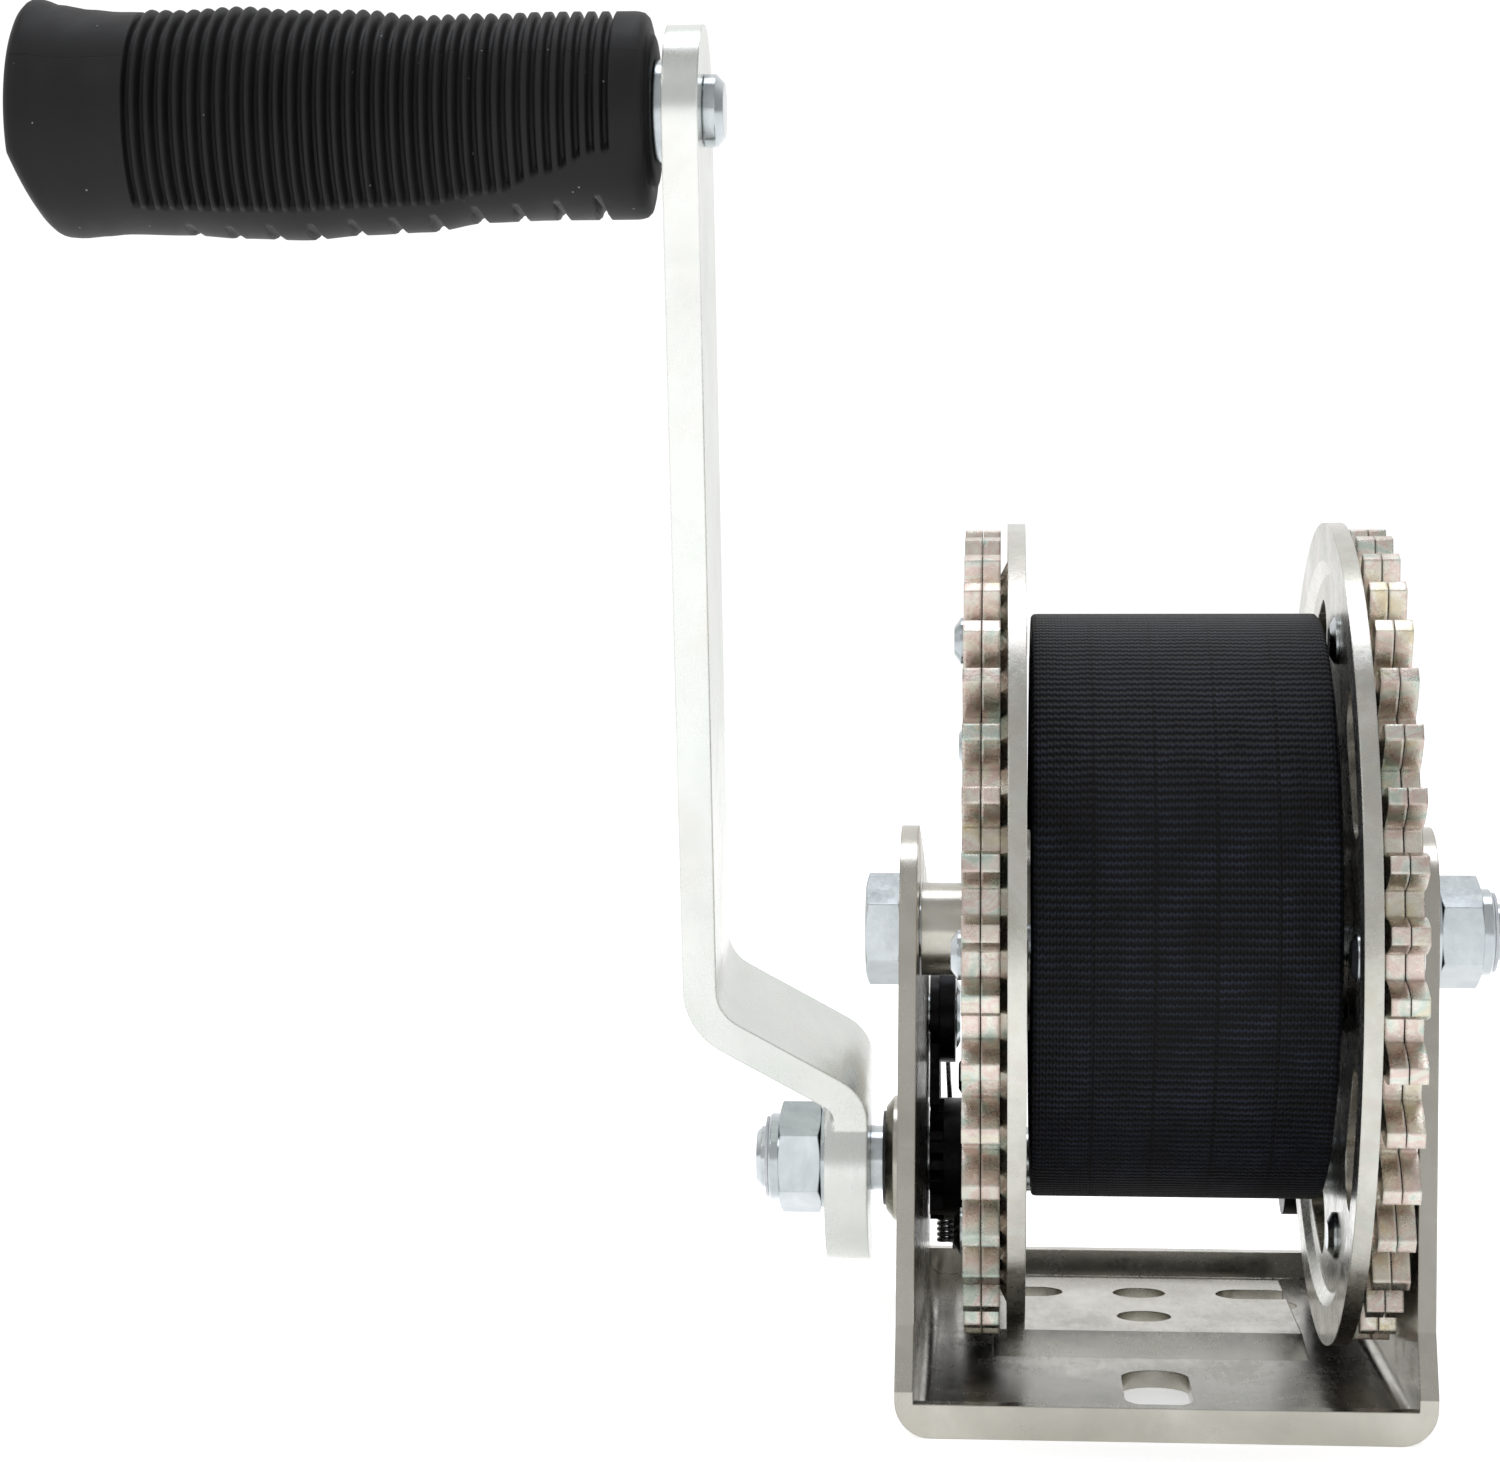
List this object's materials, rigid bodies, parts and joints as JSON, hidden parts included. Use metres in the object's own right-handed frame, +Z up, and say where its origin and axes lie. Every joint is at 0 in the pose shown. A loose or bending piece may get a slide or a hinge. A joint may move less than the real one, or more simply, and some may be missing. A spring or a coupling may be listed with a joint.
{
  "type": "boat trailer winch",
  "caption": "Hand winch for a boat trailer: a strap drum between two toothed gears in a folded steel frame, turned by a bent crank with a rubber grip.",
  "frame": {"origin": "underside of the base, midway between the walls and straight below the drum axle", "axes": "+X along the drum axle, away from the crank; +Y to the rear, towards the pinion shaft; +Z up from the base"},
  "size_m": [0.2613, 0.1613, 0.2451],
  "materials": {
    "frame_zinc": "zinc plated, warm grey, satin",
    "flange_zinc": "zinc plated, fine brushed",
    "gear_zinc": "yellow passivated zinc with pale iridescence",
    "bright_zinc": "bright zinc plated",
    "black_steel": "black oxide, oiled",
    "spring_steel": "drawn spring wire",
    "webbing": "woven polyester, slight sheen",
    "grip_rubber": "matte moulded",
    "nylon": "moulded nylon",
    "black_plastic": "plain"
  },
  "bodies": {
    "frame": {"frame": "frame_zinc", "drum_bolt": "bright_zinc", "drum_washer": "bright_zinc", "drum_nut": "bright_zinc", "drum_nut_insert": "nylon", "left_bush": "frame_zinc", "right_bush": "frame_zinc", "dust_ring": "black_plastic", "pawl_rivet": "bright_zinc", "pawl_spring": "spring_steel"},
    "drum": {"hub_tube": "frame_zinc", "drum_core": "frame_zinc", "strap_pin": "bright_zinc", "left_flange": "flange_zinc", "right_flange": "flange_zinc", "left_gear_inner": "gear_zinc", "left_gear_outer": "gear_zinc", "right_gear_inner": "gear_zinc", "right_gear_outer": "gear_zinc", "strap_roll": "webbing", "left_rivet_1": "bright_zinc", "left_rivet_2": "bright_zinc", "left_rivet_3": "bright_zinc", "left_rivet_4": "bright_zinc", "left_rivet_5": "bright_zinc", "right_rivet_1": "bright_zinc", "right_rivet_2": "bright_zinc", "right_rivet_3": "bright_zinc", "right_rivet_4": "bright_zinc", "right_rivet_5": "bright_zinc"},
    "crank": {"pinion_shaft": "bright_zinc", "left_pinion": "black_steel", "right_pinion": "black_steel", "ratchet_wheel": "black_steel", "shaft_clip": "spring_steel", "crank_arm": "bright_zinc", "crank_washer": "bright_zinc", "crank_nut": "bright_zinc", "crank_nut_insert": "nylon", "grip_pin": "bright_zinc", "grip_washer": "bright_zinc", "pin_retainer": "spring_steel"},
    "grip": {"grip": "grip_rubber", "grip_sleeve": "black_plastic"},
    "pawl": {"pawl": "black_steel"}
  },
  "joints": [
    {"name": "drum_spin", "type": "hinge", "parent": "frame", "child": "drum", "pos_m": [0, 0, 0.079], "axis": [1, 0, 0], "continuous": true},
    {"name": "crank_spin", "type": "hinge", "parent": "frame", "child": "crank", "pos_m": [0, 0.06837, 0.0285], "axis": [1, 0, 0], "continuous": true},
    {"name": "grip_spin", "type": "hinge", "parent": "crank", "child": "grip", "pos_m": [0, 0.00496, 0.22366], "axis": [1, 0, 0], "continuous": true},
    {"name": "pawl_tilt", "type": "hinge", "parent": "frame", "child": "pawl", "pos_m": [0, 0.06837, 0.057], "axis": [1, 0, 0], "range_deg": [-16, 16], "deforming": ["pawl_spring"]}
  ],
  "couplings": [
    {"joint": "crank_spin", "follows": "drum_spin", "ratio": -4}
  ]
}
